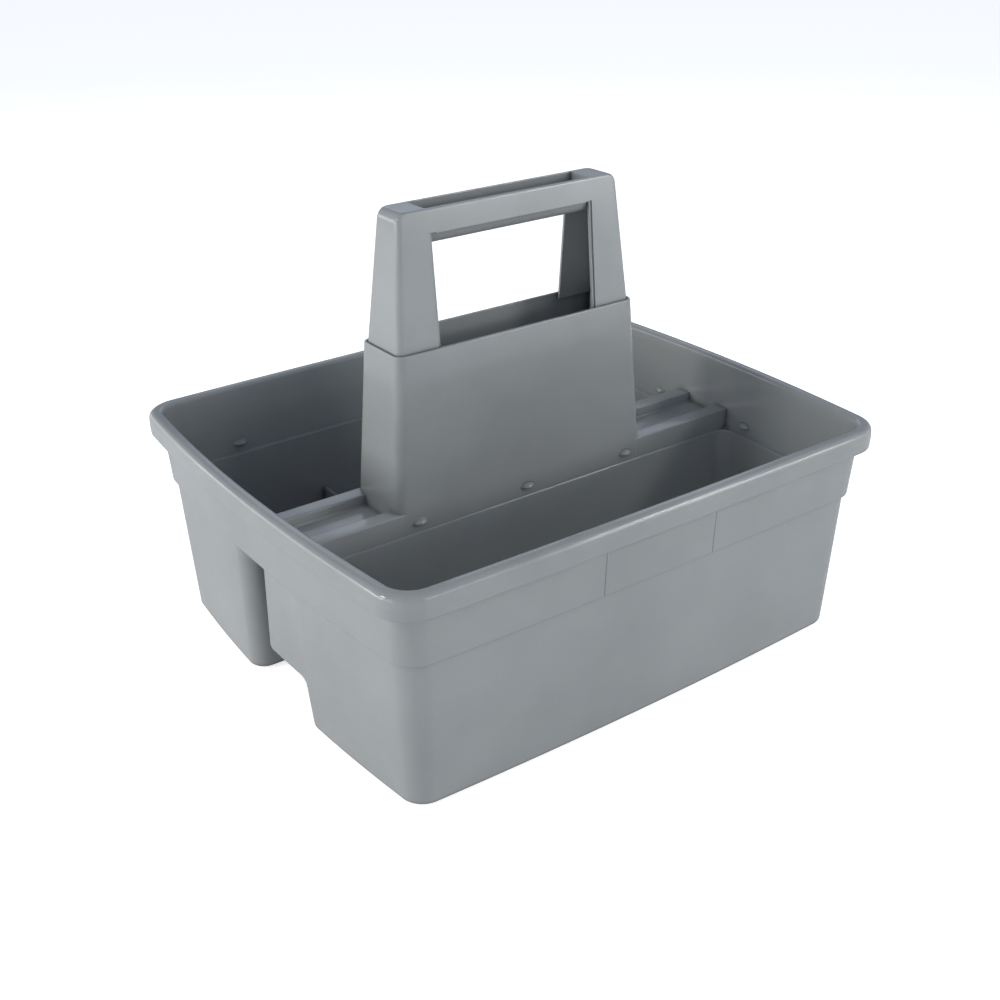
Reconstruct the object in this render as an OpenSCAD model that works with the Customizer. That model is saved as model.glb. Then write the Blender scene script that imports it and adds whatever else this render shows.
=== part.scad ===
// Tool storage caddy: a two-bin moulded tray with a hollow pedestal on its divider and a
// separate plug-in handle. Millimetres, +Z up. The origin is on the table, under the middle.

/* [Tray] */
// length of the rim over the middle of its bowed ends
rim_l = 400; // [320:1:480]
// width of the rim over the middle of its bowed sides
rim_w = 340; // [260:1:400]
// height of the rim above the table
rim_h = 154; // [120:1:200]
// how far each end bulges outward between its corners
end_bow = 10; // [0:0.5:14]
// how far each long side bulges outward between its corners
side_bow = 2.4; // [0:0.2:8]
// wall thickness of the moulding
wall = 2.8; // [2:0.1:4]
// height of the inner ledge and of the lower edge of the outer band
ledge_z = 103.5; // [80:0.5:120]
// width of the step under the band
ledge_w = 2.1; // [1:0.1:4]
// height of the lower edge of the rim skirt
skirt_z = 138.4; // [125:0.2:148]
// distance from the rim to the base on each end
base_in_x = 16.25; // [12:0.25:24]
// distance from the rim to the base on each side
base_in_y = 15; // [12:0.25:24]
// radius of the edge round the base
base_edge_r = 6; // [2:0.5:10]

/* [Divider and tunnel] */
// height of the two lips on top of the divider
lip_z = 119; // [110:0.5:130]
// half width of the divider over its lips
lip_y = 26; // [20:0.5:40]
// half width of the shallow tray between the lips
tray_y = 14.5; // [8:0.5:20]
// depth of the shallow tray between the lips
tray_d = 7; // [3:0.5:10]
// half width of the tunnel at the table
tunnel_y0 = 35; // [25:0.5:45]
// half width of the tunnel at the ledge height
tunnel_y1 = 25; // [15:0.5:35]
// radius of the upright corners of the tunnel mouth
mouth_r = 12; // [4:0.5:14]
// height of the lower edge of the half skirt over each tunnel mouth
skirt_low_z = 37.5; // [20:0.5:60]

/* [Pedestal] */
// height of the top of the pedestal
ped_z = 223; // [190:1:260]
// half length of the pedestal at its top
ped_x = 94.8; // [80:0.2:120]
// half width of the pedestal at its top
ped_y = 22.3; // [18:0.1:30]
// widening of the pedestal along its length, per mm down
ped_tx = 0.072; // [0:0.002:0.15]
// widening of the pedestal across its width, per mm down
ped_ty = 0.04; // [0:0.002:0.15]
// height of the seats that the handle stands on
seat_z = 218.9; // [200:0.1:221]

/* [Handle] */
// height of the top of the handle
top_z = 308; // [280:1:340]
// half length of the handle at its top
top_x = 84.6; // [70:0.2:110]
// half width of the handle at its top
top_y = 12; // [9:0.2:18]
// half length of the handle where it enters the pedestal
foot_x = 92.8; // [76:0.2:118]
// half width of the handle where it enters the pedestal
foot_y = 19.6; // [14:0.1:26]
// half width of the hand window
win_x = 61.2; // [50:0.2:70]
// height of the lower edge of the grip's faces
grip_z = 292.7; // [280:0.1:300]
// height of the lowest line of the grip's belly
belly_z = 284; // [275:0.1:290]
// wall thickness of the handle
h_wall = 2.6; // [2:0.1:4]
// length of the tongues inside the pedestal
tongue_l = 32; // [15:1:50]

/* [Small parts] */
// height of the flat underside of the snap nubs
nub_z = 110.5; // [105:0.5:120]
// how far the nubs stand out of the wall
nub_out = 3.4; // [2:0.1:5]
// height of the cross ribs in the rear bin
rib_z = 58; // [0:1:90]
// distance of the cross ribs from the middle
rib_x = 60; // [30:1:120]
// half width of the panel between the two upright lines on the front band
panel_x = 44; // [20:1:80]

/* [Hidden] */
grey = [0.62, 0.65, 0.65];
grey_handle = [0.64, 0.67, 0.67];
eps = 0.01;
hl = rim_l / 2;
hw = rim_w / 2;
rim_r = 24;
band_r = 20;
low_r = 19;
base_r = 16;
base_bow_x = 9.7;
base_bow_y = 4.4;
nc = 8;
nb = 4;

// Distance of a wall from its middle point, at a place v along a half length h, bowed by b.
function bowed(m, b, v, h) = m - b * pow(v / h, 2);

// Centre of a corner arc of radius r between a bowed end and a bowed side.
function corner(a, b, ba, bb, r) =
    let (y0 = b - r - bb, x1 = bowed(a - r, ba, y0, b), y1 = bowed(b - r, bb, x1, a))
    [bowed(a - r, ba, y1, b), bowed(b - r, bb, bowed(a - r, ba, y1, b), a)];

// A quarter of a bowed rectangle with rounded corners, from the end's middle to the side's middle.
function quarter(a, b, ba, bb, r) =
    let (c = corner(a, b, ba, bb, r),
         a0 = atan(2 * ba * c[1] / (b * b)),
         a1 = 90 - atan(2 * bb * c[0] / (a * a)),
         ye = c[1] + r * sin(a0),
         xs = c[0] + r * cos(a1))
    concat(
        [for (i = [0:nb - 1]) [bowed(a, ba, ye * i / nb, b), ye * i / nb]],
        [for (i = [0:nc]) let (t = a0 + (a1 - a0) * i / nc) c + r * [cos(t), sin(t)]],
        [for (i = [nb - 1:-1:1]) [xs * i / nb, bowed(b, bb, xs * i / nb, a)]]);

function half_ring(a, b, ba, bb, r) =
    let (q = quarter(a, b, ba, bb, r))
    concat(q, [[0, b]], [for (i = [len(q) - 1:-1:1]) [-q[i][0], q[i][1]]]);

// The whole outline, anticlockwise from the middle of the right end.
function ring(a, b, ba, bb, r) =
    let (h = half_ring(a, b, ba, bb, r))
    concat(h, [for (p = h) -p]);

// Outline of a bin: three sides follow the tray, the fourth is the straight divider face at y = yd.
function bin_ring(a, b, ba, bb, r, yd, rd) =
    let (c = corner(a, b, ba, bb, r),
         a0 = atan(2 * ba * c[1] / (b * b)),
         a1 = 90 - atan(2 * bb * c[0] / (a * a)),
         dy = yd + rd,
         dx = bowed(a - rd, ba, dy, b),
         ya = dy,
         yb = c[1] + r * sin(a0),
         xs = c[0] + r * cos(a1),
         right = concat(
             [for (i = [0:nc]) let (t = -90 + 90 * i / nc) [dx + rd * cos(t), dy + rd * sin(t)]],
             [for (i = [1:nb - 1]) let (y = ya + (yb - ya) * i / nb) [bowed(a, ba, y, b), y]],
             [for (i = [0:nc]) let (t = a0 + (a1 - a0) * i / nc) c + r * [cos(t), sin(t)]],
             [for (i = [nb - 1:-1:1]) [xs * i / nb, bowed(b, bb, xs * i / nb, a)]]))
    concat(right, [[0, b]], [for (i = [len(right) - 1:-1:0]) [-right[i][0], right[i][1]]]);

// A closed skin over outlines that all have the same number of points; levels are [outline, z].
module loft(levels) {
    n = len(levels[0][0]);
    m = len(levels);
    polyhedron(
        points = [for (l = levels) for (p = l[0]) [p[0], p[1], l[1]]],
        faces = concat(
            [[for (i = [0:n - 1]) i]],
            [for (k = [0:m - 2]) for (i = [0:n - 1])
                [k * n + i, (k + 1) * n + i, (k + 1) * n + (i + 1) % n, k * n + (i + 1) % n]],
            [concat([(m - 1) * n], [for (i = [n - 1:-1:1]) (m - 1) * n + i])]),
        convexity = 8);
}

// Lower wall: share of the way down from the ledge to the table.
function low_t(z) = (ledge_z - z) / ledge_z;
function low_in_x(z) = 11.3 + (base_in_x - 11.3) * low_t(z);
function low_in_y(z) = 11.3 + (base_in_y - 11.3) * low_t(z);
function low_bx(z) = end_bow + (base_bow_x - end_bow) * low_t(z);
function low_by(z) = side_bow + (base_bow_y - side_bow) * low_t(z);
function low_rad(z) = low_r + (base_r - low_r) * low_t(z);

// Outline of the lower wall at height z, drawn in by d.
function low_ring(z, d) =
    ring(hl - low_in_x(z) - d, hw - low_in_y(z) - d, low_bx(z), low_by(z), low_rad(z) - d * 0.8);

// Outline of the band and rim, drawn in by d from the rim, with corner radius r.
function rim_ring(d, r) = ring(hl - d, hw - d, end_bow, side_bow, r);

// The same, but a closed loop of levels with an open middle.
module loft_loop(levels) {
    n = len(levels[0][0]);
    m = len(levels);
    polyhedron(
        points = [for (l = levels) for (p = l[0]) [p[0], p[1], l[1]]],
        faces = [for (k = [0:m - 1]) for (i = [0:n - 1])
            let (k1 = (k + 1) % m, j = (i + 1) % n) [k * n + i, k1 * n + i, k1 * n + j, k * n + j]],
        convexity = 8);
}

module lower_outside() {
    r = base_edge_r;
    loft(concat(
        [for (t = [0:30:90]) [low_ring(r - r * cos(t), r - r * sin(t)), r - r * cos(t)]],
        [[low_ring(ledge_z + 0.5, 0), ledge_z + 0.5]]));
}

// Band, rim with its hanging skirt, and the inner wall down to the ledge.
module rim_and_band() {
    loft_loop([
        [rim_ring(9.3, band_r), ledge_z],
        [rim_ring(7.2, band_r), 146],
        [rim_ring(4.0, 21), 146],
        [rim_ring(3.8, 21), skirt_z + 0.4],
        [rim_ring(2.4, 22), skirt_z],
        [rim_ring(1.1, 23), skirt_z + 0.5],
        [rim_ring(0.0, rim_r), 146.5],
        [rim_ring(0.5, rim_r), rim_h - 4.6],
        [rim_ring(1.8, 23), rim_h - 2.0],
        [rim_ring(3.9, 21), rim_h - 0.5],
        [rim_ring(6.0, 19), rim_h],
        [rim_ring(8.0, 17.5), rim_h - 0.9],
        [rim_ring(9.3, 16.5), rim_h - 2.8],
        [rim_ring(9.9, 16), rim_h - 5.5],
        [rim_ring(12.1, 17), ledge_z]]);
}

// Space of the rear bin below the ledge; the front bin is its mirror image.
module bin_space() {
    f = 3;
    r = 5;
    loft(concat(
        [for (t = [0:30:90]) bin_level(f + r - r * cos(t), r - r * sin(t))],
        [bin_level(ledge_z + 0.6, 0)]));
}

// Place of the bin's face on the divider side at height z.
function bin_face(z) = 27.6 + (tunnel_y0 + wall - 27.6) * low_t(z);

function bin_level(z, d) =
    [bin_ring(hl - low_in_x(z) - wall - d, hw - low_in_y(z) - wall - d, low_bx(z), low_by(z),
        low_rad(z) - wall - d * 0.6, bin_face(z) + d, 9.5 - d * 0.6), z];

// Half width of the tunnel at height z.
function tun_y(z) = tunnel_y1 + (tunnel_y0 - tunnel_y1) * low_t(z);

module tunnel() {
    x0 = hl - base_in_x - wall;
    x1 = hl - 11.3 - wall;
    hull() {
        translate([-x0, -tunnel_y0, -0.5]) cube([2 * x0, 2 * tunnel_y0, eps]);
        translate([-x1, -tunnel_y1, ledge_z]) cube([2 * x1, 2 * tunnel_y1, eps]);
    }
    // ceiling, raised under the two lips so that the moulding keeps one thickness
    translate([-x1, -tunnel_y1 + 0.2, ledge_z - 1]) cube([2 * x1, 2 * tunnel_y1 - 0.4, 6.5]);
    for (s = [-1, 1])
        translate([-x1, s * 21 - 3.4, ledge_z]) cube([2 * x1, 6.8, lip_z - 3 - ledge_z]);
}

// Outline of one side of a tunnel mouth in plan, from y = ys out to the rounded upright corner.
function mouth_side(z, ys) =
    let (w = tun_y(z) - 0.15, xo = hl - low_in_x(z), c = xo - mouth_r)
    concat([[xo + 12, ys], [xo + 12, w + mouth_r]],
        [for (t = [0:-15:-90]) [c + mouth_r * cos(t), w + mouth_r + mouth_r * sin(t)]],
        [[c - 2, w - 1.5], [c - 2, ys]]);

// The free edge of the half skirt leans: its place across the caddy at height z.
function free_edge(z) = 9.5 - 0.1385 * (z + 1);

// The mouths at both ends. Over their front half the end wall hangs down as a half skirt, with a
// level lower edge and a leaning free edge near the middle.
module mouths() {
    zt = ledge_z - 0.3;
    for (a = [0, 1])
        mirror([a, 0, 0]) {
            loft([[mouth_side(-1, free_edge(-1)), -1], [mouth_side(zt, free_edge(zt)), zt]]);
            mirror([0, 1, 0])
                loft([[mouth_side(-1, -11), -1], [mouth_side(skirt_low_z, -11), skirt_low_z]]);
        }
}

// Two lips and the shallow tray between them, seen along the caddy.
module divider_top() {
    rotate([90, 0, 90])
        linear_extrude(height = 2 * (hl - 10.6), center = true)
            polygon([
                [-lip_y - 0.8, ledge_z + 0.2], [-lip_y - 0.2, lip_z - 1.4], [-lip_y + 0.3, lip_z - 0.4],
                [-lip_y + 1.2, lip_z], [-tray_y - 1, lip_z], [-tray_y - 0.2, lip_z - 0.5],
                [-tray_y, lip_z - 1.3], [-tray_y + 0.5, lip_z - tray_d], [tray_y - 0.5, lip_z - tray_d],
                [tray_y, lip_z - 1.3], [tray_y + 0.2, lip_z - 0.5], [tray_y + 1, lip_z],
                [lip_y - 1.2, lip_z], [lip_y - 0.3, lip_z - 0.4], [lip_y + 0.2, lip_z - 1.4],
                [lip_y + 0.8, ledge_z + 0.2]]);
}

// Tapered box with rounded upright corners, between heights z0 and z1.
module taper_box(x0, y0, z0, x1, y1, z1, r0, r1) {
    hull() {
        for (sx = [-1, 1]) for (sy = [-1, 1]) {
            translate([sx * (x0 - r0), sy * (y0 - r0), z0]) cylinder(h = eps, r = r0, $fn = 32);
            translate([sx * (x1 - r1), sy * (y1 - r1), z1 - eps]) cylinder(h = eps, r = r1, $fn = 32);
        }
    }
}

function px(z) = ped_x + ped_tx * (ped_z - z);
function py(z) = ped_y + ped_ty * (ped_z - z);

module pedestal_outside() {
    zb = ledge_z - 2;
    taper_box(px(zb), py(zb), zb, px(ped_z), py(ped_z), ped_z - 1, 7, 6);
    taper_box(px(ped_z), py(ped_z), ped_z - 1 - eps, px(ped_z) - 0.8, py(ped_z) - 0.8, ped_z, 6, 5.4);
}

// The hollow of the pedestal; its walls thin a little towards the opening that takes the handle.
module pedestal_inside() {
    zb = ledge_z - 4;
    zm = 190;
    t = wall - 0.1;
    taper_box(px(zb) - t, py(zb) - t, zb, px(zm) - t, py(zm) - t, zm + eps, 4.5, 4);
    taper_box(px(zm) - t, py(zm) - t, zm, px(ped_z + 1) - 1.5, py(ped_z + 1) - 2.1, ped_z + 1, 4, 3.8);
}

// Seats inside the pedestal: a ledge on each end wall, under the foot of the handle.
module seats() {
    z0 = seat_z - 34;
    for (s = [-1, 1])
        rotate([90, 0, 0])
            linear_extrude(height = 34, center = true)
                polygon([[s * 88, z0], [s * (px(z0) - 1), z0], [s * (px(seat_z) - 0.7), seat_z],
                    [s * 88, seat_z]]);
}

// Half disc with a flat underside and a sloping top, standing out of a wall towards -Y.
module nub() {
    intersection() {
        translate([0, 6.2 - nub_out, 0]) cylinder(h = 3.6, r1 = 6.2, r2 = 3.4, $fn = 48);
        translate([-8, -8, -1]) cube([16, 9.4, 6]);
    }
}

module nubs() {
    for (x = [-87, 0, 87]) for (b = [0, 1])
        mirror([0, b, 0]) translate([x, -py(nub_z) + 0.1, nub_z]) nub();
    for (x = [-124, 124]) for (b = [0, 1])
        mirror([0, b, 0]) translate([x, bowed(hw - 11.8, side_bow, x, hl), nub_z]) nub();
    for (y = [-46, 46]) for (a = [0, 1])
        mirror([a, 0, 0]) translate([bowed(hl - 11.8, end_bow, y, hw), y, nub_z]) rotate([0, 0, -90]) nub();
}

// Two low cross ribs in the rear bin.
module ribs() {
    for (s = [-1, 1])
        translate([s * rib_x - 1.2, 0, 0])
            rotate([90, 0, 90])
                linear_extrude(height = 2.4)
                    polygon([[bin_face(2) - 1, 2], [hw - low_in_y(2) - 4, 2],
                        [hw - low_in_y(rib_z) - 2, rib_z], [bin_face(rib_z) - 1, rib_z]]);
}

// Two fine upright lines on the front band.
module panel_lines() {
    for (s = [-1, 1])
        translate([s * panel_x - 0.3, -hw + 7, ledge_z - 1]) cube([0.6, 1.9, skirt_z - ledge_z + 1]);
}

module caddy_body() {
    color(grey)
        union() {
            difference() {
                union() {
                    rim_and_band();
                    lower_outside();
                    divider_top();
                    pedestal_outside();
                }
                bin_space();
                mirror([0, 1, 0]) bin_space();
                tunnel();
                mouths();
                pedestal_inside();
                panel_lines();
            }
            seats();
            nubs();
            ribs();
        }
}

// Height of the underside of the handle's feet, just clear of the seats.
foot_z = seat_z + 0.3;

// Half length and half width of the handle at height z.
function hx(z) = foot_x + (top_x - foot_x) * (z - ped_z) / (top_z - ped_z);
function hy(z) = foot_y + (top_y - foot_y) * (z - ped_z) / (top_z - ped_z);

module handle_outside() {
    r = 4.5;
    z0 = foot_z;
    hull() {
        for (sx = [-1, 1]) for (sy = [-1, 1]) {
            translate([sx * (hx(z0) - r), sy * (hy(z0) - r), z0]) cylinder(h = eps, r = r, $fn = 32);
            translate([sx * (hx(top_z) - r), sy * (hy(top_z) - 3), top_z - 3]) sphere(r = 3, $fn = 32);
            translate([sx * (hx(top_z - 9) - r), sy * (hy(top_z - 9) - r), top_z - 9])
                cylinder(h = eps, r = r, $fn = 32);
        }
    }
}

// The hollow of the two posts, closed at the top by a solid pad.
module post_hollow() {
    z0 = foot_z - 1;
    z1 = top_z - 4;
    t = h_wall;
    difference() {
        taper_box(hx(z0) - t, hy(z0) - t, z0, hx(z1) - t, hy(z1) - t, z1, 2.2, 2.2);
        translate([-win_x - 5.6, -40, belly_z - 1]) cube([2 * win_x + 11.2, 80, 60]);
    }
}

// The open space between the posts, up to the grip.
module hand_window() {
    z0 = foot_z - 5;
    translate([-win_x, -40, z0]) cube([2 * win_x, 80, grip_z - z0]);
}

// The lips along the upright edges of the window stand back a little from the faces.
module lip_steps() {
    for (sx = [-1, 1]) for (sy = [-1, 1]) {
        d = 0.9;
        slope = atan((foot_y - top_y) / (top_z - ped_z));
        translate([sx * (win_x + 1.3), sy * (hy(ped_z) - d + 5), ped_z])
            rotate([sy * slope, 0, 0])
                translate([-1.31, -5, -8]) cube([2.62, 10, grip_z - ped_z + 8]);
    }
}

// Grip: a channel that is open at the top, with a rounded belly under the faces.
module grip_channel() {
    rotate([90, 0, 90])
        linear_extrude(height = 2 * win_x + 8, center = true)
            difference() {
                intersection() {
                    translate([0, belly_z + 12]) circle(r = 12, $fn = 96);
                    translate([-11, belly_z - 1]) square([22, 14.2]);
                }
                translate([0, belly_z + 12]) circle(r = 9.4, $fn = 96);
                translate([-8.6, belly_z + 8]) square([17.2, 20]);
            }
}

module grip_recess() {
    z1 = top_z + 1;
    translate([-win_x - 2.6, -top_y + 2.5, belly_z + 7]) cube([2 * win_x + 5.2, 2 * top_y - 5, z1 - belly_z]);
    hull() {
        translate([-win_x - 2.6, -top_y + 2.5, top_z - 1]) cube([2 * win_x + 5.2, 2 * top_y - 5, eps]);
        translate([-win_x - 3.4, -top_y + 1.7, top_z + eps]) cube([2 * win_x + 6.8, 2 * top_y - 3.4, eps]);
    }
    rotate([90, 0, 90])
        linear_extrude(height = 2 * win_x + 5.2, center = true)
            translate([0, belly_z + 12]) circle(r = 9.4, $fn = 96);
}

// Tongues that plug into the pedestal, each with a small snap bead near its end and two ribs
// that stiffen it.
module tongues() {
    t = 2.4;
    z0 = foot_z - tongue_l;
    z1 = foot_z + 4;
    for (s = [-1, 1])
        mirror([s < 0 ? 1 : 0, 0, 0]) {
            translate([86.6 - t, -9, z0]) cube([t, 18, z1 - z0]);
            translate([86.6 - t, -9, z1 - 3]) cube([hx(z1) - 1.6 - 86.6 + t, 18, 3]);
            rotate([90, 0, 0])
                linear_extrude(height = 14, center = true)
                    polygon([[86.5, z0], [86.5, z0 + 7], [87.6, z0 + 5.6]]);
            for (y = [-9, 6.6])
                translate([82, y, z0 + 4]) cube([2.4, 2.4, z1 - z0 - 4]);
        }
}

module handle() {
    color(grey_handle) {
        difference() {
            handle_outside();
            post_hollow();
            hand_window();
            grip_recess();
            lip_steps();
        }
        difference() {
            grip_channel();
            grip_recess();
        }
        tongues();
    }
}

caddy_body();
handle();
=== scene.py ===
import math

import bmesh
import bpy
from mathutils import Matrix, Vector


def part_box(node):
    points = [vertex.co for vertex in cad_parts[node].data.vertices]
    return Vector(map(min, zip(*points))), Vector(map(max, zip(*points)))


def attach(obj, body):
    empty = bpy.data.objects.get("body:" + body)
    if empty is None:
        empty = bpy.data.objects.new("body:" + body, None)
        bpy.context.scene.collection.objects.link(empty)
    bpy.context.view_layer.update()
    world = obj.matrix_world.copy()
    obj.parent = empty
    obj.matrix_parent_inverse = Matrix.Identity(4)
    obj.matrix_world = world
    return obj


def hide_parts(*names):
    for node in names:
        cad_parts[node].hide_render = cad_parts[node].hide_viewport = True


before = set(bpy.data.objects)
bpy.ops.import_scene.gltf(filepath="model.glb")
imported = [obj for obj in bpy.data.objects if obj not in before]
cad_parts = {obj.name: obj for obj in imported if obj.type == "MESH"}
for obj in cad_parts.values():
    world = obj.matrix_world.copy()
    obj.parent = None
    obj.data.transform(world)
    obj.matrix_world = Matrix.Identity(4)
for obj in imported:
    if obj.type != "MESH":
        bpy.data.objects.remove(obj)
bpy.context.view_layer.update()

# ---------------------------------------------------------------------------
# Sizes. The outer sizes come from the frame; the rest are millimetres.
# x runs along the caddy, y from front to back, z up.
# ---------------------------------------------------------------------------
MM = 0.001
BODY_LO, BODY_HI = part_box("caddy_body")

HL = (BODY_HI[0] - BODY_LO[0]) / 2 / MM      # half length over the rim
HW = (BODY_HI[1] - BODY_LO[1]) / 2 / MM      # half width over the rim
PED_Z = BODY_HI[2] / MM                      # top of the pedestal
TOP_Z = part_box("handle")[1][2] / MM          # top of the handle
FOOT_Z = PED_Z - 3.8                         # underside of the handle's feet

WALL = 2.8
END_BOW, SIDE_BOW = 10.0, 2.4                # bulge of the ends and sides at the rim
BASE_END_BOW, BASE_SIDE_BOW = 9.7, 4.4       # the same at the base
LEDGE_Z, LEDGE_TOP = 103.5, 104.0            # lower edge of the band, top of the ledge inside
SKIRT_Z, RIM_Z = 138.7, 154.0                # lower edge of the rim's skirt, top of the rim
RIM_R, BAND_R, LOW_R, BASE_R = 24.0, 22.0, 19.0, 16.0    # corners in plan, from the rim down
LEDGE_IN = 11.3                              # how far the wall under the band stands in
BASE_IN_X, BASE_IN_Y = 16.25, 15.0           # how far the base stands in
BASE_EDGE_R = 6.2                            # lower edge of the bins, outside
FLOOR_T, FLOOR_R = 3.0, 5.0                  # floor of the bins and the fillet round it

TUNNEL_BASE_Y, TUNNEL_TOP_Y = 35.0, 25.0     # half width of the tunnel under the divider
TUNNEL_Z = 109.0                             # its ceiling
BIN_Y = 27.6                                 # inner face of a bin beside the divider, at the top
MOUTH_R, MOUTH_R_IN = 12.0, 9.5              # bin corners beside the tunnel, outside and inside
LIP_Y, LIP_Z = 25.9, 119.0                   # the two lips along the divider
TRAY_Y, TRAY_Z = 14.5, 112.0                 # the shallow tray between the lips

HANG_Z = 37.5                                # lower edge of the half skirts
HANG_BACK_Y = -49.0                          # where a half skirt runs out of the bin's end wall
HANG_LOW_Y, HANG_TOP_Y = 4.2, -4.9           # its free edge, at the foot and at the band
HANG_R = 2.5                                 # lower corner of the free edge

PED_X, PED_Y, PED_R = 94.8, 22.3, 6.6        # half length, half width and corners at its top
PED_TX, PED_TY = 0.072, 0.040                # how much it widens per millimetre downward
SEAT_X, SEAT_Y = 88.0, 17.0                  # inner face and half width of the seats
FOOT_X, FOOT_Y = 92.8, 19.6                  # half length and half width of the handle's foot
GRIP_X, GRIP_Y = 84.6, 12.0                  # the same at its top
WIN_X = 61.3                                 # half width of the hand window
GRIP_Z = 292.7                               # lower edge of the grip's faces
BELLY_Z = 284.0                              # lowest point of the grip

NUB_Z = 110.5                                # flat underside of the nubs
NUB_R, NUB_OUT, NUB_H = 6.2, 3.4, 3.6        # radius, how far they stand out, height
NUB_IN = 11.75                               # inner wall behind the nubs, in from the rim
PED_NUB_X, SIDE_NUB_X, END_NUB_Y = 87.0, 124.0, 46.0

RIB_X, RIB_Z, RIB_T = 60.0, 58.0, 2.4        # cross ribs of the rear bin
LINE_X = 44.0                                # fine upright ribs on the front band

SIDE_SEGS = 10                               # segments along half a side
CORNER_SEGS = 14                             # segments round a corner of the tray
BOX_CORNER_SEGS = 8                          # segments round a corner of the pedestal or handle
ARC_STEP = 18.0                              # degrees between levels of a rounded edge
QUARTER = math.pi / 2

BODY_GREY = (0.312, 0.325, 0.324)
HANDLE_GREY = (0.330, 0.345, 0.346)
# dark brownish tone painted into gaps and inside corners: painted shade, with some grime
GAP_SHADE_AND_GRIME = (0.085, 0.075, 0.068)


# ---------------------------------------------------------------------------
# Outlines in plan
# ---------------------------------------------------------------------------
def bowed(middle, bow, v, half):
    """Distance of a bowed side from the middle plane, at v along it."""
    return middle - bow * (v / half) ** 2


def corner_centre(a, b, bow_x, bow_y, r):
    x, y = a - r, b - r
    for _ in range(12):
        x = bowed(a - r, bow_x, y, b)
        y = bowed(b - r, bow_y, x, a)
    return x, y


def outer_arc(a, b, bow_x, bow_y, r):
    """The rounded corner between a bowed end and a bowed side: points, from end to side."""
    cx, cy = corner_centre(a, b, bow_x, bow_y, r)
    t0 = math.atan(2 * bow_x * cy / (b * b))
    t1 = QUARTER - math.atan(2 * bow_y * cx / (a * a))
    pts = []
    for i in range(CORNER_SEGS + 1):
        t = t0 + (t1 - t0) * i / CORNER_SEGS
        pts.append((cx + r * math.cos(t), cy + r * math.sin(t)))
    return pts


def tray_ring(a, b, bow_x, bow_y, r):
    """Bowed rectangle with rounded corners, anticlockwise from the middle of the right end."""
    arc = outer_arc(a, b, bow_x, bow_y, r)
    ye, xs = arc[0][1], arc[-1][0]
    n = SIDE_SEGS
    quarter = [(bowed(a, bow_x, ye * i / n, b), ye * i / n) for i in range(n)]
    quarter += arc
    quarter += [(xs * i / n, bowed(b, bow_y, xs * i / n, a)) for i in range(n - 1, 0, -1)]
    half = quarter + [(0.0, b)] + [(-x, y) for x, y in reversed(quarter[1:])]
    return half + [(-x, -y) for x, y in half]


def bin_ring(a, b, bow_x, bow_y, r, y_div, r_div):
    """Outline of one bin: three sides of the tray and a straight divider side at y_div."""
    arc = outer_arc(a, b, bow_x, bow_y, r)
    ye, xs = arc[0][1], arc[-1][0]
    dy = y_div + r_div
    dx = bowed(a - r_div, bow_x, dy, b)
    right = []
    for i in range(CORNER_SEGS + 1):
        t = QUARTER * i / CORNER_SEGS - QUARTER
        right.append((dx + r_div * math.cos(t), dy + r_div * math.sin(t)))
    n = SIDE_SEGS
    right += [(bowed(a, bow_x, dy + (ye - dy) * i / n, b), dy + (ye - dy) * i / n)
              for i in range(1, n)]
    right += arc
    right += [(xs * i / n, bowed(b, bow_y, xs * i / n, a)) for i in range(n - 1, 0, -1)]
    left = [(-x, y) for x, y in reversed(right)]
    divider = [(dx * i / n - dx, y_div) for i in range(1, 2 * n)]
    return right + [(0.0, b)] + left + divider


def box_ring(hx, hy, r, straight):
    """Rectangle with rounded corners; each side is in so many straight segments."""
    corners = ((1, 1), (-1, 1), (-1, -1), (1, -1))
    pts = []
    for k, (sx, sy) in enumerate(corners):
        cx, cy = sx * (hx - r), sy * (hy - r)
        for i in range(BOX_CORNER_SEGS + 1):
            t = QUARTER * (k + i / BOX_CORNER_SEGS)
            pts.append((cx + r * math.cos(t), cy + r * math.sin(t)))
        nx, ny = corners[(k + 1) % 4]
        t = QUARTER * (k + 1)
        x0, y0 = pts[-1]
        x1, y1 = nx * (hx - r) + r * math.cos(t), ny * (hy - r) + r * math.sin(t)
        for i in range(1, straight):
            f = i / straight
            pts.append((x0 + (x1 - x0) * f, y0 + (y1 - y0) * f))
    return pts


# ---------------------------------------------------------------------------
# Profiles, lofts and meshes
# ---------------------------------------------------------------------------
def fillet(points, closed):
    """Rounds each (u, v, radius) corner of a polyline; gives (u, v) points."""
    out = []
    n = len(points)
    for i, (u, v, r) in enumerate(points):
        if r <= 0 or (not closed and i in (0, n - 1)):
            out.append((u, v))
            continue
        p = Vector((u, v))
        a = Vector(points[i - 1][:2]) - p
        b = Vector(points[(i + 1) % n][:2]) - p
        room = min(a.length, b.length) * 0.49
        a.normalize()
        b.normalize()
        half = math.acos(max(-1.0, min(1.0, a.dot(b)))) / 2
        if half > math.radians(88.5):        # all but straight
            out.append((u, v))
            continue
        back = min(r / math.tan(half), room)
        r = back * math.tan(half)
        centre = p + (a + b).normalized() * (r / math.sin(half))
        p0, p1 = p + a * back - centre, p + b * back - centre
        turn = math.atan2(p0.x * p1.y - p0.y * p1.x, p0.dot(p1))
        steps = max(2, math.ceil(abs(math.degrees(turn)) / ARC_STEP))
        for k in range(steps + 1):
            t = turn * k / steps
            c, s = math.cos(t), math.sin(t)
            out.append((centre.x + c * p0.x - s * p0.y, centre.y + s * p0.x + c * p0.y))
    return out


def at_height(ring, z):
    return [(x, y, z) for x, y in ring]


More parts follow.
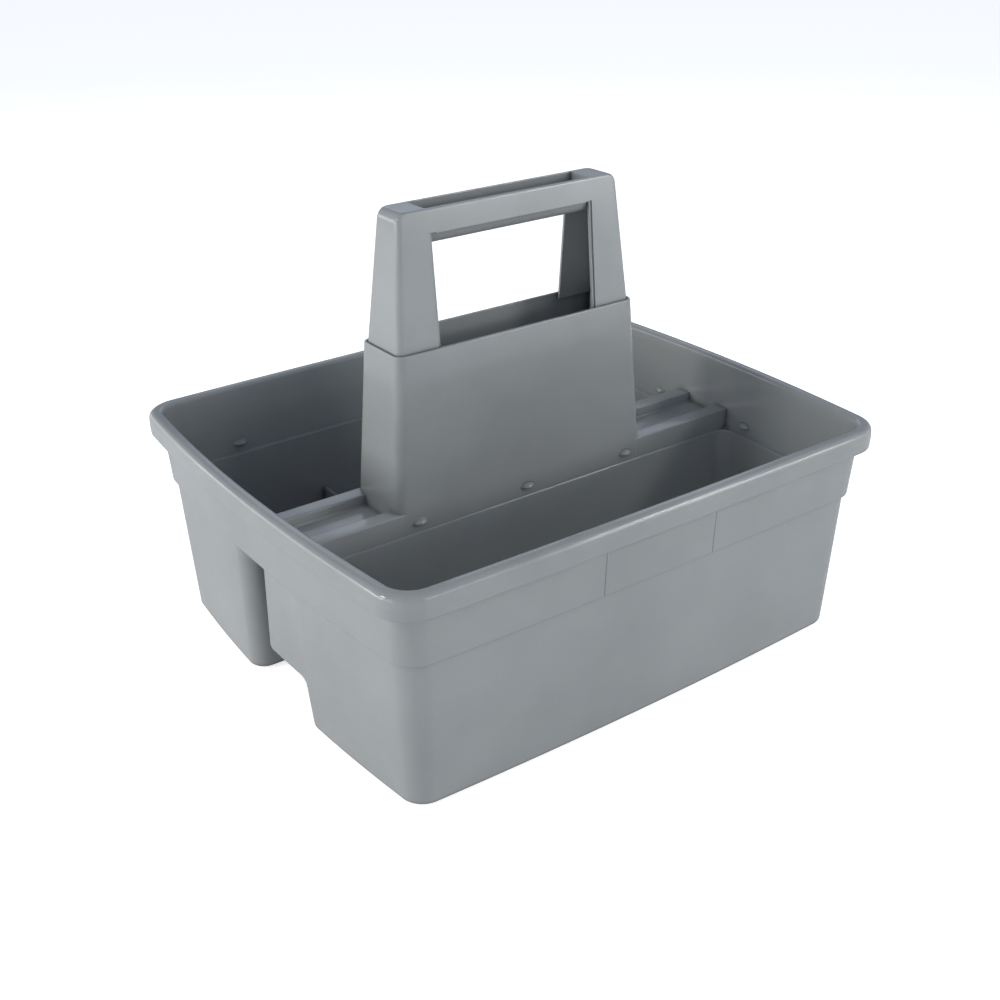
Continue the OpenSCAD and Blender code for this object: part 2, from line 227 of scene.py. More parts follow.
def add_loft(bm, rings, loop=False):
    """Skins rings of equal length, each a list of (x, y, z) in millimetres."""
    rows = [[bm.verts.new((x * MM, y * MM, z * MM)) for x, y, z in ring] for ring in rings]
    n = len(rows[0])
    faces = []
    for k in range(len(rows) if loop else len(rows) - 1):
        low, high = rows[k], rows[(k + 1) % len(rows)]
        for i in range(n):
            j = (i + 1) % n
            faces.append(bm.faces.new((low[i], low[j], high[j], high[i])))
    if not loop:
        faces.append(bm.faces.new(list(reversed(rows[0]))))
        faces.append(bm.faces.new(rows[-1]))
    bmesh.ops.recalc_face_normals(bm, faces=faces)


def add_prism(bm, outline, place, lo, hi, bevel=0.0):
    """Extrudes a closed outline of (u, v) from lo to hi; place(u, v, w) gives (x, y, z)."""
    part = bmesh.new()
    add_loft(part, [[place(u, v, w) for u, v in outline] for w in (lo, hi)])
    if bevel:
        edges = [e for e in part.edges if e.calc_face_angle(0.0) > math.radians(40)]
        bmesh.ops.bevel(part, geom=edges, offset=bevel * MM, segments=2, profile=0.5,
                        affect="EDGES", clamp_overlap=True)
    merge(bm, part)


def merge(bm, part):
    mesh = bpy.data.meshes.new("part")
    part.to_mesh(mesh)
    part.free()
    bm.from_mesh(mesh)
    bpy.data.meshes.remove(mesh)


def along_x(u, v, w):
    return (w, u, v)


def along_y(u, v, w):
    return (u, w, v)


def along_z(u, v, w):
    return (u, v, w)


def add_box(bm, lo, hi, bevel):
    outline = [(lo[0], lo[1]), (hi[0], lo[1]), (hi[0], hi[1]), (lo[0], hi[1])]
    add_prism(bm, outline, along_z, lo[2], hi[2], bevel)


def make_object(bm, name, material):
    mesh = bpy.data.meshes.new(name)
    bm.to_mesh(mesh)
    bm.free()
    mesh.materials.append(material)
    obj = bpy.data.objects.new(name, mesh)
    bpy.context.scene.collection.objects.link(obj)
    smooth(obj, 32.0)
    return obj


def smooth(obj, sharp):
    """Shades obj smooth, but for edges sharper than so many degrees."""
    obj.data.shade_smooth()
    obj.data.set_sharp_from_angle(angle=math.radians(sharp))


def cut(obj, bm):
    """Takes the solid in bm away from obj."""
    mesh = bpy.data.meshes.new("cutter")
    bm.to_mesh(mesh)
    bm.free()
    cutter = bpy.data.objects.new("cutter", mesh)
    bpy.context.scene.collection.objects.link(cutter)
    mod = obj.modifiers.new("cut", "BOOLEAN")
    mod.operation = "DIFFERENCE"
    mod.solver = "EXACT"
    mod.object = cutter
    bpy.context.view_layer.update()
    graph = bpy.context.evaluated_depsgraph_get()
    result = bpy.data.meshes.new_from_object(obj.evaluated_get(graph))
    obj.modifiers.clear()
    old = obj.data
    obj.data = result
    bpy.data.meshes.remove(old)
    bpy.data.objects.remove(cutter)
    bpy.data.meshes.remove(mesh)


# ---------------------------------------------------------------------------
# The caddy body
# ---------------------------------------------------------------------------
def blend_down(top, base, z):
    """A size of the lower part at height z: top is its value at the band, base at z = 0."""
    return top + (base - top) * ((LEDGE_Z - z) / LEDGE_Z)


def lower_sizes(z):
    """Half length, half width, bows and corner radius of the lower wall at height z."""
    return (HL - blend_down(LEDGE_IN, BASE_IN_X, z), HW - blend_down(LEDGE_IN, BASE_IN_Y, z),
            blend_down(END_BOW, BASE_END_BOW, z), blend_down(SIDE_BOW, BASE_SIDE_BOW, z),
            blend_down(LOW_R, BASE_R, z))


def tunnel_y(z):
    return blend_down(TUNNEL_TOP_Y, TUNNEL_BASE_Y, z)


def bin_face(z):
    """Inner face of a bin on the divider's side."""
    return blend_down(BIN_Y, TUNNEL_BASE_Y + WALL, z)


def rim_profile():
    """(distance in from the rim, height, edge radius) round the rim and the band."""
    return [
        (9.25, LEDGE_Z, 0.5), (6.9, 147.6, 0.9), (4.4, 147.6, 1.2), (4.2, SKIRT_Z, 0.5),
        (0.4, SKIRT_Z, 0.5), (0.0, 146.0, 3.0), (0.4, RIM_Z, 6.3), (9.1, RIM_Z, 2.8),
        (9.9, 147.0, 6.0), (12.1, LEDGE_TOP, 1.6), (13.5, LEDGE_TOP, 0.2), (13.1, LEDGE_Z, 0.0),
    ]


def add_rim_and_band(bm):
    rings = []
    for d, z in fillet(rim_profile(), True):
        in_rim = z > SKIRT_Z - 1
        r = RIM_R - 0.8 * d if in_rim else BAND_R - 0.3 * d
        rings.append(at_height(tray_ring(HL - d, HW - d, END_BOW, SIDE_BOW, r), z))
    add_loft(bm, rings, loop=True)


def bin_level(z, d, inside, side):
    """A ring of a bin's outside or inside at height z, d in from the wall's own face."""
    a, b, bow_x, bow_y, r = lower_sizes(z)
    if inside:
        ring = bin_ring(a - WALL - d, b - WALL - d, bow_x, bow_y, r - WALL - 0.6 * d,
                        bin_face(z) + d, MOUTH_R_IN - 0.6 * d)
    else:
        ring = bin_ring(a - d, b - d, bow_x, bow_y, r - 0.8 * d,
                        tunnel_y(z) + d, MOUTH_R - 0.8 * d)
    return [(x, side * y, z) for x, y in ring]


def add_bin(bm, side):
    """One bin as a single skin: up the outside, over its top edge and down to the floor."""
    top, high, mid = LEDGE_TOP - 0.05, 75.0, 40.0
    foot = fillet([(BASE_EDGE_R + 1.5, 0.0, 0), (0.0, 0.0, BASE_EDGE_R), (0.0, 12.0, 0)], False)
    edge = fillet([(-1.3, top, 0), (0.0, top, 0.7), (0.0, top - 3, 0)], False)
    floor = fillet([(0.0, 14.0, 0), (0.0, FLOOR_T, FLOOR_R), (FLOOR_R + 1.5, FLOOR_T, 0)], False)
    outside = foot + [(0.0, z) for z in (mid, high, top)]
    inside = edge + [(0.0, z) for z in (high, mid)] + floor
    add_loft(bm, [bin_level(z, d, False, side) for d, z in outside]
             + [bin_level(z, d, True, side) for d, z in inside])


def add_divider_top(bm, sx):
    """Two lips with a shallow tray between them, from the pedestal to the end wall."""
    low, roof = LEDGE_Z - 0.1, LIP_Z - 3.0
    half = [
        (TRAY_Y - 1.2, TRAY_Z, 1.6), (TRAY_Y, LIP_Z, 1.2), (LIP_Y + 0.4, LIP_Z, 0.9),
        (LIP_Y + 1.05, low, 0.0), (24.6, low, 0.0), (23.9, roof, 1.0),
        (17.4, roof, 1.0), (16.9, TUNNEL_Z, 0.6),
    ]
    outline = half + [(-u, v, r) for u, v, r in reversed(half)]
    add_prism(bm, fillet(outline, True), along_x, sx * (PED_X + 1.6), sx * (HL - 10.9))


def pedestal_x(z):
    return PED_X + PED_TX * (PED_Z - z)


def pedestal_y(z):
    return PED_Y + PED_TY * (PED_Z - z)


def add_pedestal(bm):
    """Hollow pedestal; its walls thin towards the opening, a little more across than along."""
    low, thick_z, thin_z, rim_t = 102.0, 150.0, 190.0, 1.5
    profile = [(0.0, z, 0) for z in (low, 120.0, 160.0, 200.0)]
    profile += [(0.0, PED_Z, 0.8), (rim_t, PED_Z, 0.4), (2.4, thin_z, 0), (WALL, thick_z, 0),
                (WALL, low, 0)]
    rings = []
    for d, z in fillet(profile, True):
        across = 0.6 * min(1.0, d / rim_t) * max(0.0, (z - thin_z) / (PED_Z - thin_z))
        ring = box_ring(pedestal_x(z) - d, pedestal_y(z) - d - across, PED_R - 0.7 * d, 6)
        rings.append(at_height(ring, z))
    add_loft(bm, rings, loop=True)


def add_seats(bm):
    """A ledge on each end wall inside the pedestal, under the foot of the handle."""
    top, low = FOOT_Z - 0.3, FOOT_Z - 34.3
    for sx in (-1, 1):
        outline = [(sx * SEAT_X, low), (sx * (pedestal_x(low) - 1.0), low),
                   (sx * (pedestal_x(top) - 0.9), top), (sx * SEAT_X, top)]
        add_prism(bm, outline, along_y, -SEAT_Y, SEAT_Y, 0.3)


def hang_low(y):
    """Lower edge of the half skirt: level, then curving down into the bin's corner."""
    r = 8.0
    u = min(1.0, max(0.0, (-TUNNEL_BASE_Y - y) / r))
    return HANG_Z - r * (1 - math.sqrt(1 - u * u))


def skirt_point(sx, inset, u, v):
    """A point of a half skirt: u runs to its free edge, which leans, and v up to the band."""
    y_end = HANG_LOW_Y + (HANG_TOP_Y - HANG_LOW_Y) * v
    y = HANG_BACK_Y + (y_end - HANG_BACK_Y) * u ** 0.8
    corner = min(1.0, max(0.0, 1 - (y_end - y) / HANG_R))
    z_low = hang_low(y) + HANG_R * (1 - math.sqrt(1 - corner * corner))
    z = z_low + (LEDGE_TOP - 0.1 - z_low) * v
    a, b, bow_x, _, _ = lower_sizes(z)
    return (sx * bowed(a - inset, bow_x, y, b) * MM, y * MM, z * MM)


def add_half_skirt(bm, sx):
    """The end wall carries on over the front half of the tunnel mouth as a hanging skirt."""
    cols, rows = 30, 12
    skins = [[[bm.verts.new(skirt_point(sx, inset, i / cols, j / rows)) for j in range(rows + 1)]
              for i in range(cols + 1)] for inset in (0.03, WALL)]
    faces = []
    for skin in skins:
        for near, far in zip(skin, skin[1:]):
            for j in range(rows):
                faces.append(bm.faces.new((near[j], far[j], far[j + 1], near[j + 1])))
    border = ([(i, 0) for i in range(cols)] + [(cols, j) for j in range(rows)]
              + [(i, rows) for i in range(cols, 0, -1)] + [(0, j) for j in range(rows, 0, -1)])
    front, back = skins
    for (i, j), (m, n) in zip(border, border[1:] + border[:1]):
        faces.append(bm.faces.new((front[i][j], front[m][n], back[m][n], back[i][j])))
    bmesh.ops.recalc_face_normals(bm, faces=faces)


def add_nub(bm, x, y, turn):
    """Half dome with a flat underside that stands out of a wall; turn is its facing angle."""
    segs, sunk = 24, 1.2                     # sunk is how far it reaches into the wall
    c, s = math.cos(turn), math.sin(turn)
    rings = []
    for lift in (0, 12, 28, 45, 62, 78):
        r = NUB_R * math.cos(math.radians(lift))
        z = NUB_Z + NUB_H * math.sin(math.radians(lift))
        ring = []
        for i in range(segs):
            t = 2 * math.pi * i / segs
            u, v = r * math.cos(t), min(r * math.sin(t) + NUB_R - NUB_OUT, sunk)
            ring.append((x + c * u - s * v, y + s * u + c * v, z))
        rings.append(ring)
    add_loft(bm, rings)


def add_nubs(bm):
    face = pedestal_y(NUB_Z)
    for x in (-PED_NUB_X, 0.0, PED_NUB_X):
        add_nub(bm, x, -face, 0.0)
        add_nub(bm, x, face, math.pi)
    for x in (-SIDE_NUB_X, SIDE_NUB_X):
        y = bowed(HW - NUB_IN, SIDE_BOW, x, HL)
        add_nub(bm, x, y, 0.0)
        add_nub(bm, x, -y, math.pi)
    for y in (-END_NUB_Y, END_NUB_Y):
        x = bowed(HL - NUB_IN, END_BOW, y, HW)
        add_nub(bm, x, y, -QUARTER)
        add_nub(bm, -x, y, QUARTER)


def add_ribs(bm):
    """Two low cross ribs on the floor of the rear bin, sunk into its floor and walls."""
    low = FLOOR_T / 2
    outline = [
        (bin_face(2.0) - 1, low), (HW - BASE_IN_Y - 4, low),
        (HW - blend_down(LEDGE_IN, BASE_IN_Y, RIB_Z) - 2, RIB_Z), (bin_face(RIB_Z) - 1, RIB_Z),
    ]
    for x in (-RIB_X, RIB_X):
        add_prism(bm, outline, along_x, x - RIB_T / 2, x + RIB_T / 2, 0.5)


def add_panel_lines(bm):
    """Two fine upright ribs that stand a little out of the front band."""
    low_z, high_z, proud, sunk, half_t = LEDGE_Z + 0.3, 147.0, 0.22, 1.0, 0.35
    for x in (-LINE_X, LINE_X):
        low = -bowed(HW - 9.2, SIDE_BOW, x, HL)
        high = -bowed(HW - 7.0, SIDE_BOW, x, HL)
        outline = [(low - proud, low_z), (high - proud, high_z), (high + sunk, high_z),
                   (low + sunk, low_z)]
        add_prism(bm, outline, along_x, x - half_t, x + half_t, 0.12)


def build_body():
    bm = bmesh.new()
    add_rim_and_band(bm)
    add_bin(bm, 1)
    add_bin(bm, -1)
    for sx in (-1, 1):
        add_divider_top(bm, sx)
        add_half_skirt(bm, sx)
    add_pedestal(bm)
    add_seats(bm)
    add_nubs(bm)
    add_ribs(bm)
    add_panel_lines(bm)
    obj = make_object(bm, "caddy_body_shell", moulded_plastic("grey_plastic_body", BODY_GREY, 0.0))
    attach(obj, "caddy")
    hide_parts("caddy_body")


# ---------------------------------------------------------------------------
# The handle
# ---------------------------------------------------------------------------
def handle_share(z):
    """0 at the top of the pedestal, 1 at the top of the handle."""
    return (z - PED_Z) / (TOP_Z - PED_Z)


def handle_x(z):
    return FOOT_X + (GRIP_X - FOOT_X) * handle_share(z)


def handle_y(z):
    return FOOT_Y + (GRIP_Y - FOOT_Y) * handle_share(z)


def handle_solid():
    """The tapering outside of the handle, with its rounded top."""
    end_r, edge_r = 6.0, 1.3                 # top edge across the ends, and along the faces
    levels = [(z, 0.0, 0.0) for z in (FOOT_Z, 240.0, 265.0, 285.0)]
    for deg in range(0, 91, 10):
        t = math.radians(deg)
        z = TOP_Z - end_r * (1 - math.sin(t))
        over = max(0.0, edge_r - (TOP_Z - z))
        levels.append((z, end_r * (1 - math.cos(t)),
                       edge_r - math.sqrt(max(0.0, edge_r ** 2 - over ** 2))))
    rings = []
    for z, dx, dy in levels:
        r = 4.8 - 1.2 * handle_share(z) - 0.5 * dy
        rings.append(at_height(box_ring(handle_x(z) - dx, handle_y(z) - dy, r, 12), z))
    bm = bmesh.new()
    add_loft(bm, rings)
    return bm


def post_hollows():
    """The inside of the two posts, which are channels open towards the window."""
    wall, r, steps, inner = 2.6, 2.2, 6, WIN_X - 5.0
    bm = bmesh.new()
    for sx in (-1, 1):
        rings = []
        for z in (FOOT_Z - 2.0, 300.0):
            hx, hy = handle_x(z) - wall, handle_y(z) - wall
            ring = [(sx * inner, -hy)]
            for cy, start in ((r - hy, -QUARTER), (hy - r, 0.0)):
                for i in range(steps + 1):
                    t = start + QUARTER * i / steps
                    ring.append((sx * (hx - r + r * math.cos(t)), cy + r * math.sin(t)))
            ring.append((sx * inner, hy))
            rings.append(at_height(ring, z))
        add_loft(bm, rings)
    return bm


def window_cutter():
    low, r = FOOT_Z - 6, 1.2
    outline = [(-WIN_X, low, 0), (WIN_X, low, 0), (WIN_X, GRIP_Z, r), (-WIN_X, GRIP_Z, r)]
    bm = bmesh.new()
    add_prism(bm, fillet(outline, True), along_y, -40.0, 40.0)
    return bm


def lip_cutter():
    """Steps the faces back a little along the upright edges of the window."""
    depth, width, past = 0.9, 1.7, 6
    low, high = FOOT_Z - 2, GRIP_Z + 0.6
    bm = bmesh.new()
    for sx in (-1, 1):
        x0, x1 = sorted((sx * (WIN_X - 3), sx * (WIN_X + width)))
        for sy in (-1, 1):
            outline = [(sy * (handle_y(low) - depth), low), (sy * (handle_y(high) - depth), high),
                       (sy * (handle_y(high) + past), high), (sy * (handle_y(low) + past), low)]
            add_prism(bm, outline, along_x, x0, x1)
    return bm


def recess_cutter():
    """The open channel along the top of the grip, between the two end pads."""
    wall, flare, x = 2.5, 0.5, WIN_X + 2.6
    low, brim, top = 280.0, TOP_Z - 1.0, TOP_Z + 0.01
    wide = handle_y(top) - wall + flare
    half = [(handle_y(low) - wall, low), (handle_y(brim) - wall, brim), (wide, top),
            (wide, TOP_Z + 3)]
    bm = bmesh.new()
    add_prism(bm, half + [(-u, v) for u, v in reversed(half)], along_x, -x, x)
    return bm


def add_grip_belly(bm):
    """Rounded underside of the grip: a channel that hangs between the two faces."""
    drop, half, t, steps = 10.6, 11.1, 2.5, 32
    centre, top = BELLY_Z + drop, 298.0
    brim, brim_t = handle_y(top) - 1.2, 1.4
    outer, inner = [(brim, top)], [(brim - brim_t, top)]
    for i in range(steps + 1):
        c, s = math.cos(math.pi * i / steps), math.sin(math.pi * i / steps)
        outer.append((half * c, centre - drop * s))
        inner.append(((half - t) * c, centre - (drop - t) * s))
    outer.append((-brim, top))
    inner.append((brim_t - brim, top))
    add_prism(bm, outer + inner[::-1], along_x, -(WIN_X + 4.5), WIN_X + 4.5)


def add_tongues(bm):
    """Two tongues that plug into the pedestal, each with a web, two ribs and a snap bead."""
    x, t, half_y = 84.2, 2.4, 9.0            # inner face, thickness and half width of a tongue
    low, top = FOOT_Z - 32.0, FOOT_Z + 4.0
    rib_x, rib_low, web_low = 82.0, low + 4, top - 3.0
    boxes = (
        ((x, -half_y, low), (x + t, half_y, top), 0.5),
        ((x + 0.2, -half_y, web_low), (handle_x(top) - 1.8, half_y, top), 0.3),
        ((rib_x, -half_y, rib_low), (x + 0.4, t - half_y, top), 0.5),
        ((rib_x, half_y - t, rib_low), (x + 0.4, half_y, top), 0.5),
    )
    back, face, peak = 86.0, 86.5, 87.6
    bead = [(back, low + 0.6), (face, low + 0.6), (peak, low + 5.6), (face, low + 7.0),
            (back, low + 7.0)]
    for sx in (-1, 1):
        for lo, hi, r in boxes:
            x0, x1 = sorted((sx * lo[0], sx * hi[0]))
            add_box(bm, (x0, lo[1], lo[2]), (x1, hi[1], hi[2]), r)
        add_prism(bm, [(sx * u, v) for u, v in bead], along_y, -7.0, 7.0, 0.2)


def build_handle():
    plastic = moulded_plastic("grey_plastic_handle", HANDLE_GREY, 3.1)
    obj = make_object(handle_solid(), "handle_shell", plastic)
    for cutter in (post_hollows, window_cutter, lip_cutter, recess_cutter):
        cut(obj, cutter())
    bm = bmesh.new()
    bm.from_mesh(obj.data)
    add_grip_belly(bm)
    add_tongues(bm)
    bm.to_mesh(obj.data)
    bm.free()
    smooth(obj, 30.0)
    weighted = obj.modifiers.new("even_faces", "WEIGHTED_NORMAL")
    weighted.keep_sharp = True
    weighted.weight = 80
    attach(obj, "handle")
    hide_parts("handle")


# ---------------------------------------------------------------------------
# Moulded grey plastic
# ---------------------------------------------------------------------------
class Nodes:
    """Short calls for building a node tree."""

    def __init__(self, tree):
        self.tree = tree

    def add(self, kind, **values):
        node = self.tree.nodes.new(kind)
        for key, value in values.items():
            setattr(node, key, value)
        return node

    def link(self, a, b):
        self.tree.links.new(a, b)

    def mapping(self, vector, **values):
        node = self.add("ShaderNodeMapping")
        for key, value in values.items():
            node.inputs[key].default_value = value
        self.link(vector, node.inputs["Vector"])
        return node.outputs["Vector"]

    def noise(self, vector, scale, detail, rough):
        node = self.add("ShaderNodeTexNoise")
        node.inputs["Scale"].default_value = scale
        node.inputs["Detail"].default_value = detail
        node.inputs["Roughness"].default_value = rough
        self.link(vector, node.inputs["Vector"])
        return node.outputs["Fac"]

    def remap(self, value, from_min, from_max, to_min, to_max):
        node = self.add("ShaderNodeMapRange")
        self.link(value, node.inputs["Value"])
        node.inputs["From Min"].default_value = from_min
        node.inputs["From Max"].default_value = from_max
        node.inputs["To Min"].default_value = to_min
        node.inputs["To Max"].default_value = to_max
        return node.outputs["Result"]

    def fill(self, socket, value):
        """Sets a socket to a number or colour, or links it to another node's output."""
        if isinstance(value, (int, float)):
            socket.default_value = value
        elif isinstance(value, tuple):
            socket.default_value = value + (1.0,)
        else:
            self.link(value, socket)

    def math(self, kind, a, b):
        node = self.add("ShaderNodeMath", operation=kind)
        self.fill(node.inputs[0], a)
        self.fill(node.inputs[1], b)
        return node.outputs[0]

    def mix(self, factor, a, b):
        node = self.add("ShaderNodeMix", data_type="RGBA")
        for index, value in ((0, factor), (6, a), (7, b)):
            self.fill(node.inputs[index], value)
        return node.outputs[2]

    def bump(self, height, strength, distance, normal):
        node = self.add("ShaderNodeBump")
        node.inputs["Strength"].default_value = strength
        node.inputs["Distance"].default_value = distance
        self.link(height, node.inputs["Height"])
        self.link(normal, node.inputs["Normal"])
        return node.outputs["Normal"]


def scaled(colour, factor):
    return tuple(c * factor for c in colour)


def plastic_tones(n, vec, colour, mottle):
    """The grey itself, with slow clouds, a warmer mottle and fine dark specks."""
    clouds = n.noise(vec, 9.0, 3.0, 0.55)
    speck = n.noise(vec, 1400.0, 1.0, 0.5)
    warm = tuple(c * f for c, f in zip(colour, (1.03, 1.0, 0.965)))
    base = n.mix(n.remap(clouds, 0.35, 0.65, 0.0, 1.0), scaled(colour, 0.93), scaled(colour, 1.06))
    base = n.mix(n.remap(mottle, 0.45, 0.75, 0.0, 0.35), base, warm)
    return n.mix(n.remap(speck, 0.5, 0.8, 0.0, 0.16), base, scaled(colour, 0.7))


def scratches(n, vec):
    """Hairline scratches: long thin noise, kept to patches."""
    long_vec = n.mapping(vec, Scale=(10.0, 260.0, 420.0), Rotation=(0.3, 0.5, 0.9))
    lines = n.noise(long_vec, 4.0, 1.0, 0.4)
    patches = n.noise(vec, 14.0, 1.0, 0.5)
    return n.math("MULTIPLY", n.remap(lines, 0.62, 0.74, 0.0, 1.0),
                  n.remap(patches, 0.5, 0.7, 0.0, 1.0))


def worn_edges(n, bevelled):
    """How much of an edge this is, from the angle between the bevelled and the true normal."""
    geometry = n.add("ShaderNodeNewGeometry")
    dot = n.add("ShaderNodeVectorMath", operation="DOT_PRODUCT")
    n.link(bevelled, dot.inputs[0])
    n.link(geometry.outputs["Normal"], dot.inputs[1])
    return n.remap(dot.outputs["Value"], 0.995, 0.9, 0.0, 0.3)


def shade_and_grime_in_gaps(n):
    """How far this is inside a narrow gap or an inside corner, where painted shade and grime go.
    """
    hidden = n.add("ShaderNodeAmbientOcclusion", samples=6)
    hidden.inputs["Distance"].default_value = 0.006
    return n.remap(hidden.outputs["AO"], 0.4, 0.88, 0.75, 0.0)


def moulded_plastic(name, colour, offset):
    """Glossy moulded plastic; offset moves its patterns, so that two pieces differ."""
    mat = bpy.data.materials.new(name)
    mat.use_nodes = True
    n = Nodes(mat.node_tree)
    shader = mat.node_tree.nodes["Principled BSDF"]
    coords = n.add("ShaderNodeTexCoord").outputs["Object"]
    vec = n.mapping(coords, Location=(offset, offset * 0.7, 0.0))
    mottle = n.noise(vec, 70.0, 4.0, 0.6)
    scuff = scratches(n, vec)
    bevel = n.add("ShaderNodeBevel", samples=4)
    bevel.inputs["Radius"].default_value = 0.0006
    bevelled = bevel.outputs["Normal"]

    base = plastic_tones(n, vec, colour, mottle)
    base = n.mix(n.math("MULTIPLY", scuff, 0.05), base, scaled(colour, 1.3))
    base = n.mix(worn_edges(n, bevelled), base, scaled(colour, 1.35))
    # painted shade, with some grime: darkens gaps and inside corners by ambient occlusion
    base = n.mix(shade_and_grime_in_gaps(n), base, GAP_SHADE_AND_GRIME)
    n.link(base, shader.inputs["Base Color"])

    rough = n.remap(mottle, 0.3, 0.7, 0.13, 0.20)
    rough = n.math("ADD", rough, n.math("MULTIPLY", scuff, 0.10))
    n.link(rough, shader.inputs["Roughness"])
    shader.inputs["IOR"].default_value = 1.49

    # slow waviness of the moulded wall, then a faint grain, then the finest roughness
    normal = n.bump(n.noise(vec, 16.0, 1.0, 0.4), 0.25, 0.0010, bevelled)
    normal = n.bump(n.noise(vec, 260.0, 2.0, 0.5), 0.06, 0.0002, normal)
    normal = n.bump(n.noise(vec, 2600.0, 1.0, 0.5), 0.05, 0.00005, normal)
    n.link(normal, shader.inputs["Normal"])
    return mat


# ---------------------------------------------------------------------------
# Floor, light and camera. Azimuth 0 is the front and -90 the left, in degrees.
# ---------------------------------------------------------------------------
FLOOR_SIZE, FLOOR_Z = 30.0, -0.0003          # metres; just under the object
FLOOR_GLOW, FLOOR_GLOW_SEEN = 0.09, 0.75     # its own light, as the object and the camera see it
WORLD_TINT, WHITE = (0.195, 0.222, 0.285), (1.0, 1.0, 1.0)

LAMP_DISTANCE = 2.0
LAMP_TARGET = Vector((0, 0, 0.12))
WARM_LIGHT, COOL_LIGHT = (1.0, 1.0, 0.97), (0.88, 0.96, 1.06)
LOW_BOX, STRIP_BOX, HIGH_BOX = (1.0, 0.6), (0.7, 0.26), (1.0, 0.7)
KEY_BOX, GLINT_BOX, CARD, WINDOW = (0.32, 0.26), (0.09, 0.09), (0.8, 0.3), (1.2, 0.6)
LAMPS = (                                    # name, azimuth, elevation, watts, size, colour
    ("low_back_left", -160.0, 9.0, 2.4, LOW_BOX, WARM_LIGHT),
    ("low_left_back", -135.0, 9.0, 5.0, LOW_BOX, WARM_LIGHT),
    ("low_left", -110.0, 9.0, 11.0, LOW_BOX, WARM_LIGHT),
    ("low_left_front", -85.0, 9.0, 5.6, LOW_BOX, WARM_LIGHT),
    ("low_front_left", -60.0, 9.0, 1.5, LOW_BOX, COOL_LIGHT),
    ("low_front_right", 15.0, 15.0, 3.6, STRIP_BOX, WARM_LIGHT),
    ("low_right", 40.0, 15.0, 7.0, STRIP_BOX, WARM_LIGHT),
    ("right_card", 38.0, 3.0, 2.8, CARD, WARM_LIGHT),
    ("low_right_back", 70.0, 9.0, 2.4, LOW_BOX, COOL_LIGHT),
    ("left_key", -103.0, 34.0, 7.0, KEY_BOX, WARM_LIGHT),
    ("right_key", 42.0, 30.0, 4.4, KEY_BOX, WARM_LIGHT),
    ("right_fill", 62.0, 38.0, 1.4, HIGH_BOX, COOL_LIGHT),
    ("front_fill", -12.0, 46.0, 1.0, HIGH_BOX, COOL_LIGHT),
    ("left_glint", -80.0, 35.0, 1.0, GLINT_BOX, WARM_LIGHT),
    ("front_glint", 10.0, 36.0, 1.0, GLINT_BOX, WARM_LIGHT),
    ("overhead", -30.0, 62.0, 0.4, HIGH_BOX, COOL_LIGHT),
    ("back_window", 145.0, 28.0, 1.9, WINDOW, COOL_LIGHT),
)

# the photo's viewing angle
VIEW_AZIMUTH, VIEW_ELEVATION, VIEW_ROLL = -35.744, 26.872, -0.769
VIEW_DISTANCE = 0.91829
VIEW_TARGET = Vector((-0.00958, -0.00786, 0.09529))
LENS, SENSOR = 47.80, 36.0


def outward(azimuth, elevation):
    """Unit vector from the object towards a place round it."""
    a, e = math.radians(azimuth), math.radians(elevation)
    return Vector((math.sin(a) * math.cos(e), -math.cos(a) * math.cos(e), math.sin(e)))


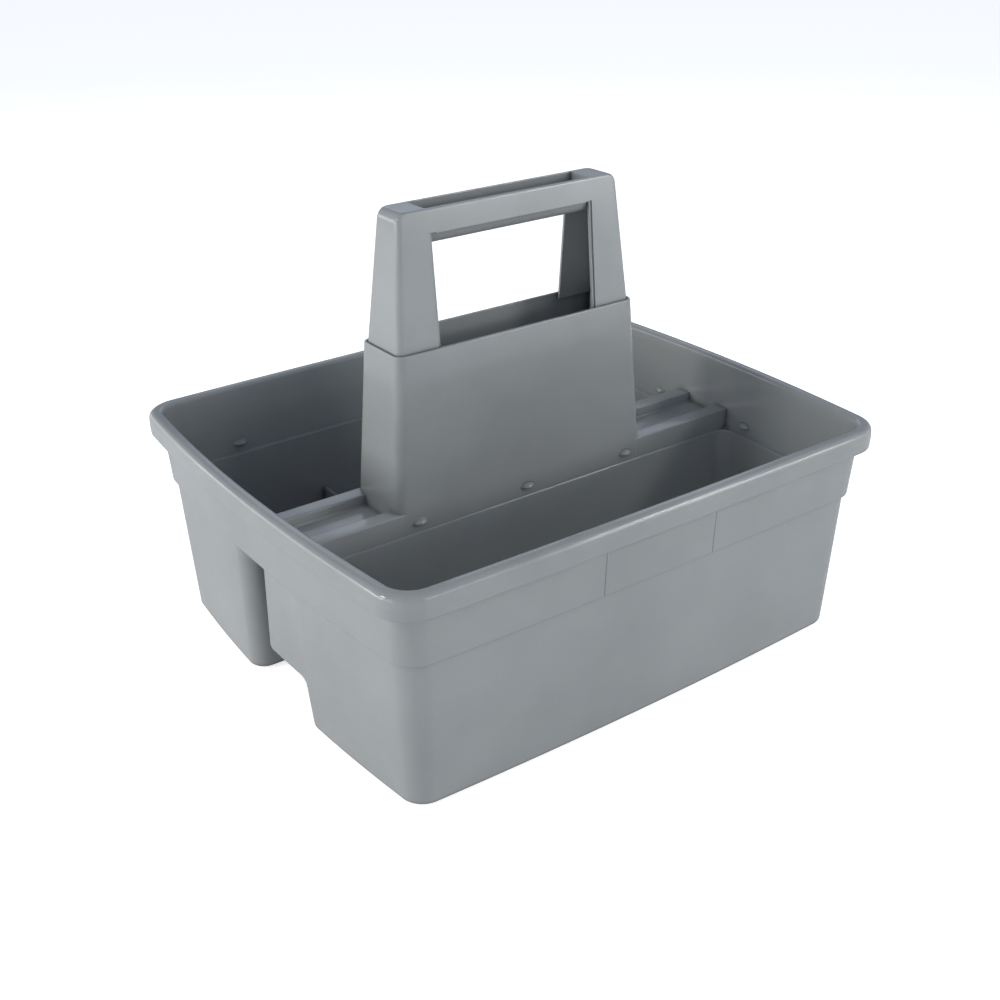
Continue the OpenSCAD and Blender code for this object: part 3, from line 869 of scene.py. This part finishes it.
def pale_floor():
    mat = bpy.data.materials.new("pale_floor")
    mat.use_nodes = True
    n = Nodes(mat.node_tree)
    shader = mat.node_tree.nodes["Principled BSDF"]
    coords = n.add("ShaderNodeTexCoord").outputs["Object"]
    tone = n.mix(n.noise(coords, 3.0, 2.0, 0.5), (0.79, 0.79, 0.79), (0.81, 0.81, 0.81))
    n.link(tone, shader.inputs["Base Color"])
    shader.inputs["Roughness"].default_value = 0.9
    shader.inputs["Specular IOR Level"].default_value = 0.1
    seen = n.add("ShaderNodeLightPath").outputs["Is Camera Ray"]
    glow = n.remap(seen, 0.0, 1.0, FLOOR_GLOW, FLOOR_GLOW_SEEN)
    n.link(glow, shader.inputs["Emission Strength"])
    shader.inputs["Emission Color"].default_value = WHITE + (1.0,)
    bpy.ops.mesh.primitive_plane_add(size=FLOOR_SIZE, location=(0, 0, FLOOR_Z))
    floor = bpy.context.object
    floor.name = "floor"
    floor.data.materials.append(mat)


def studio_world():
    """An even, dim and slightly cool surrounding that shows white behind the object."""
    world = bpy.data.worlds.new("studio")
    bpy.context.scene.world = world
    world.use_nodes = True
    n = Nodes(world.node_tree)
    back = world.node_tree.nodes["Background"]
    seen = n.add("ShaderNodeLightPath").outputs["Is Camera Ray"]
    n.link(n.mix(seen, WORLD_TINT, WHITE), back.inputs["Color"])
    back.inputs["Strength"].default_value = 1.0


def softbox(name, azimuth, elevation, watts, size, colour):
    data = bpy.data.lights.new(name, "AREA")
    data.shape = "RECTANGLE"
    data.size, data.size_y = size
    data.energy = watts
    data.color = colour
    light = bpy.data.objects.new(name, data)
    away = outward(azimuth, elevation)
    light.location = LAMP_TARGET + away * LAMP_DISTANCE
    light.rotation_euler = away.to_track_quat("Z", "Y").to_euler()
    light.visible_camera = False
    bpy.context.scene.collection.objects.link(light)


def camera():
    azimuth, roll = math.radians(VIEW_AZIMUTH), math.radians(VIEW_ROLL)
    back = outward(VIEW_AZIMUTH, VIEW_ELEVATION)
    level = Vector((math.cos(azimuth), math.sin(azimuth), 0.0))
    upright = back.cross(level)
    right = math.cos(roll) * level + math.sin(roll) * upright
    up = math.cos(roll) * upright - math.sin(roll) * level
    data = bpy.data.cameras.new("camera")
    data.lens = LENS
    data.sensor_width = SENSOR
    data.clip_start = 0.02
    data.clip_end = 60.0
    cam = bpy.data.objects.new("camera", data)
    turn = Matrix((right, up, back)).transposed()
    cam.matrix_world = Matrix.Translation(VIEW_TARGET + back * VIEW_DISTANCE) @ turn.to_4x4()
    bpy.context.scene.collection.objects.link(cam)
    bpy.context.scene.camera = cam


build_body()
build_handle()
pale_floor()
studio_world()
for lamp in LAMPS:
    softbox(*lamp)
camera()
bpy.context.scene.view_settings.view_transform = "Standard"
